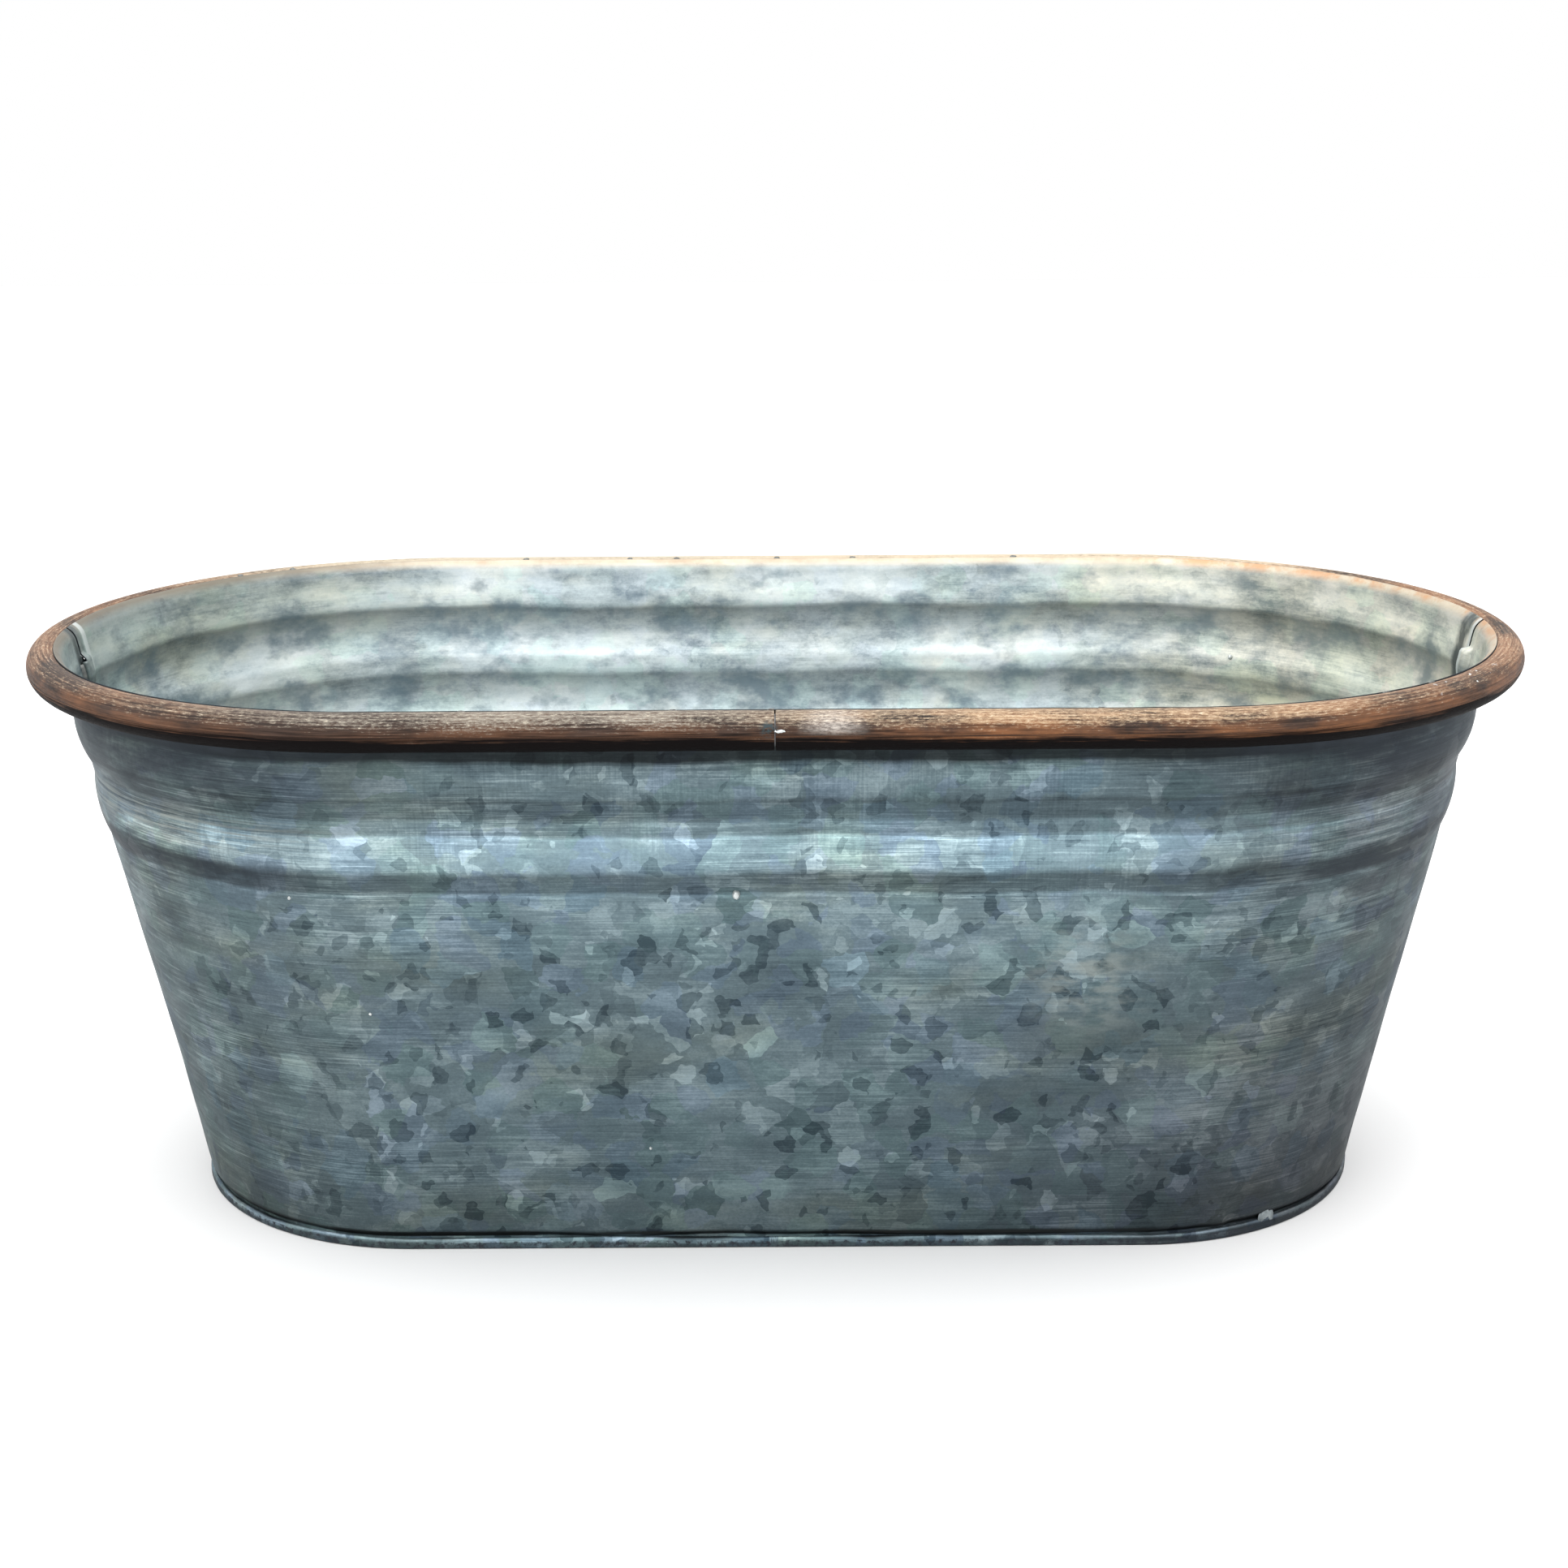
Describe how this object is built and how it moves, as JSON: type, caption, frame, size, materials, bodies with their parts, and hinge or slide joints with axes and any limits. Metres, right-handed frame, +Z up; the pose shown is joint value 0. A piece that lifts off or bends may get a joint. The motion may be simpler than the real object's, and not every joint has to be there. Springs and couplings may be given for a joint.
{
  "type": "oval galvanised trough",
  "caption": "Open oval tub with sloping ribbed sheet walls, a rolled-seam foot and a tubular rim, for holding water or feed.",
  "frame": {"origin": "on the ground under the middle of the oval", "axes": "+X along the oval's length, +Y across it towards the rear, +Z up; the rim tube's joint is on the -Y side"},
  "size_m": [0.5, 0.2579, 0.1935],
  "materials": {
    "galvanised_sheet": "aged hot-dip zinc with blue-grey spangle and brushed streaks",
    "rim_metal": "rust-brown, rubbed to tan on top, nearly black underneath",
    "solder": "dull tin-grey, lumpy",
    "sealant": "matt grey bead"
  },
  "bodies": {
    "root": {"front_wall": "galvanised_sheet", "rear_wall": "galvanised_sheet", "bottom_pan": "galvanised_sheet", "rim_tube": "rim_metal", "rim_joint_dowel": "rim_metal", "rim_joint_bead": "solder", "rim_tack_spots": "solder", "left_seam_solder": "solder", "right_seam_solder": "solder", "foot_seam_solder": "solder", "foot_sealant": "sealant"}
  },
  "joints": []
}
